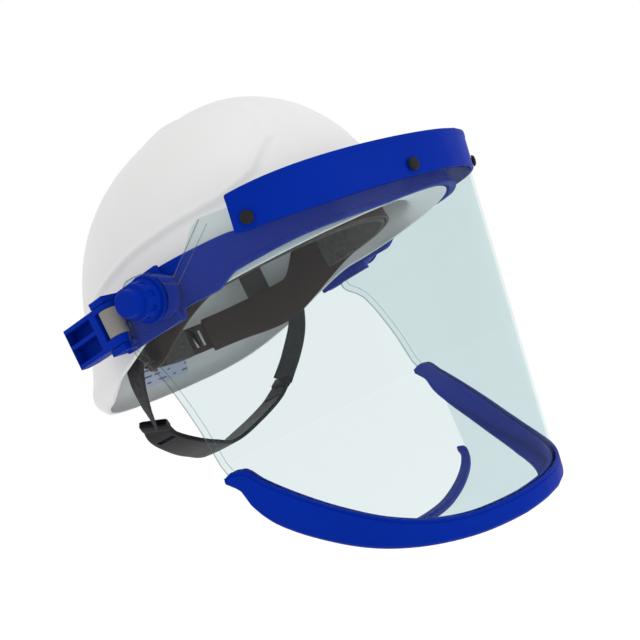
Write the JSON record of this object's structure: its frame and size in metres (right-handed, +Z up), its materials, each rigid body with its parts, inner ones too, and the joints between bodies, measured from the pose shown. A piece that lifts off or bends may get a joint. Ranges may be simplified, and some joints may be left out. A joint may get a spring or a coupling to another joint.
{
  "type": "face shield",
  "caption": "Safety helmet with a clamp-on carrier and a tilting clear arc visor with blue top band, bottom trim and clear chin guard.",
  "frame": {"origin": "middle of the wearer's head at headband level, between the two sides, inside the helmet", "axes": "+Z up as worn, the wearer faces -Y, +X towards the wearer's left"},
  "size_m": [0.2752, 0.2934, 0.2962],
  "materials": {
    "shell_white": "satin moulded thermoplastic",
    "lens_clear": "clear polycarbonate with a faint green tint",
    "carrier_blue": "moulded, soft sheen",
    "rivet_black": "moulded push rivet",
    "hardware_steel": "turned",
    "webbing_black": "woven tape",
    "webbing_dark": "woven tape",
    "plastic_black": "moulded",
    "pad_grey": "padded brow band",
    "harness_brown": "moulded, matt",
    "sheet_pale": "plain printed film",
    "roller_rubber": "soft grip"
  },
  "bodies": {
    "helmet": {"carrier_bracket": "carrier_blue", "crown_ring": "harness_brown", "crown_strap_front_left": "webbing_dark", "crown_strap_front_right": "webbing_dark", "crown_strap_rear_left": "webbing_dark", "crown_strap_rear_right": "webbing_dark", "end_plate_left": "carrier_blue", "end_plate_right": "carrier_blue", "front_sweatband": "pad_grey", "headband": "harness_brown", "helmet_shell": "shell_white", "information_sheet": "sheet_pale", "lever_pin_left": "hardware_steel", "lever_pin_right": "hardware_steel", "outer_washer_left": "carrier_blue", "outer_washer_right": "carrier_blue", "pivot_bolt_left": "hardware_steel", "pivot_bolt_right": "hardware_steel", "pivot_boss_left": "carrier_blue", "pivot_boss_right": "carrier_blue", "strap_anchor_left": "plastic_black", "strap_anchor_right": "plastic_black", "suspension_clip_front_left": "harness_brown", "suspension_clip_front_right": "harness_brown", "suspension_clip_rear_left": "harness_brown", "suspension_clip_rear_right": "harness_brown"},
    "visor": {"band_rivet_left_front": "rivet_black", "band_rivet_left_rear": "rivet_black", "band_rivet_right_front": "rivet_black", "band_rivet_right_rear": "rivet_black", "bottom_trim": "carrier_blue", "chin_guard": "lens_clear", "chin_guard_trim": "carrier_blue", "top_band": "carrier_blue", "visor_lens": "lens_clear"},
    "nape_adjuster": {"nape_band": "harness_brown", "nape_pad": "pad_grey"},
    "chin_harness": {"chin_strap_right": "webbing_black", "chin_strap_left": "webbing_black", "chin_cup": "plastic_black"},
    "knob_right": {"clamp_knob_right": "carrier_blue"},
    "lever_right": {"clamp_lever_right": "carrier_blue"},
    "roller_right": {"grip_roller_right": "roller_rubber"},
    "knob_left": {"clamp_knob_left": "carrier_blue"},
    "lever_left": {"clamp_lever_left": "carrier_blue"},
    "roller_left": {"grip_roller_left": "roller_rubber"}
  },
  "joints": [
    {"name": "visor_tilt", "type": "hinge", "parent": "helmet", "child": "visor", "pos_m": [0, -0.00587, -0.00125], "axis": [-1, 0, 0], "range_deg": [0, 80]},
    {"name": "nape_slide", "type": "slide", "parent": "helmet", "child": "nape_adjuster", "axis": [0, 1, 0], "range_m": [0, 0.01]},
    {"name": "chin_strap_swing", "type": "hinge", "parent": "helmet", "child": "chin_harness", "pos_m": [0, 0.046, -0.008], "axis": [-1, 0, 0], "range_deg": [0, 70]},
    {"name": "knob_turn_right", "type": "hinge", "parent": "helmet", "child": "knob_right", "pos_m": [-0.126, -0.00587, -0.00125], "axis": [-1, 0, 0], "range_deg": [0, 360]},
    {"name": "lever_open_right", "type": "hinge", "parent": "helmet", "child": "lever_right", "pos_m": [-0.1155, 0.027, 0], "axis": [0, 0, 1], "range_deg": [0, 90]},
    {"name": "roller_spin_right", "type": "hinge", "parent": "helmet", "child": "roller_right", "pos_m": [-0.1155, 0.027, 0], "axis": [0, 0, 1], "continuous": true},
    {"name": "knob_turn_left", "type": "hinge", "parent": "helmet", "child": "knob_left", "pos_m": [0.126, -0.00587, -0.00125], "axis": [1, 0, 0], "range_deg": [0, 360]},
    {"name": "lever_open_left", "type": "hinge", "parent": "helmet", "child": "lever_left", "pos_m": [0.1155, 0.027, 0], "axis": [0, 0, -1], "range_deg": [0, 90]},
    {"name": "roller_spin_left", "type": "hinge", "parent": "helmet", "child": "roller_left", "pos_m": [0.1155, 0.027, 0], "axis": [0, 0, 1], "continuous": true}
  ]
}
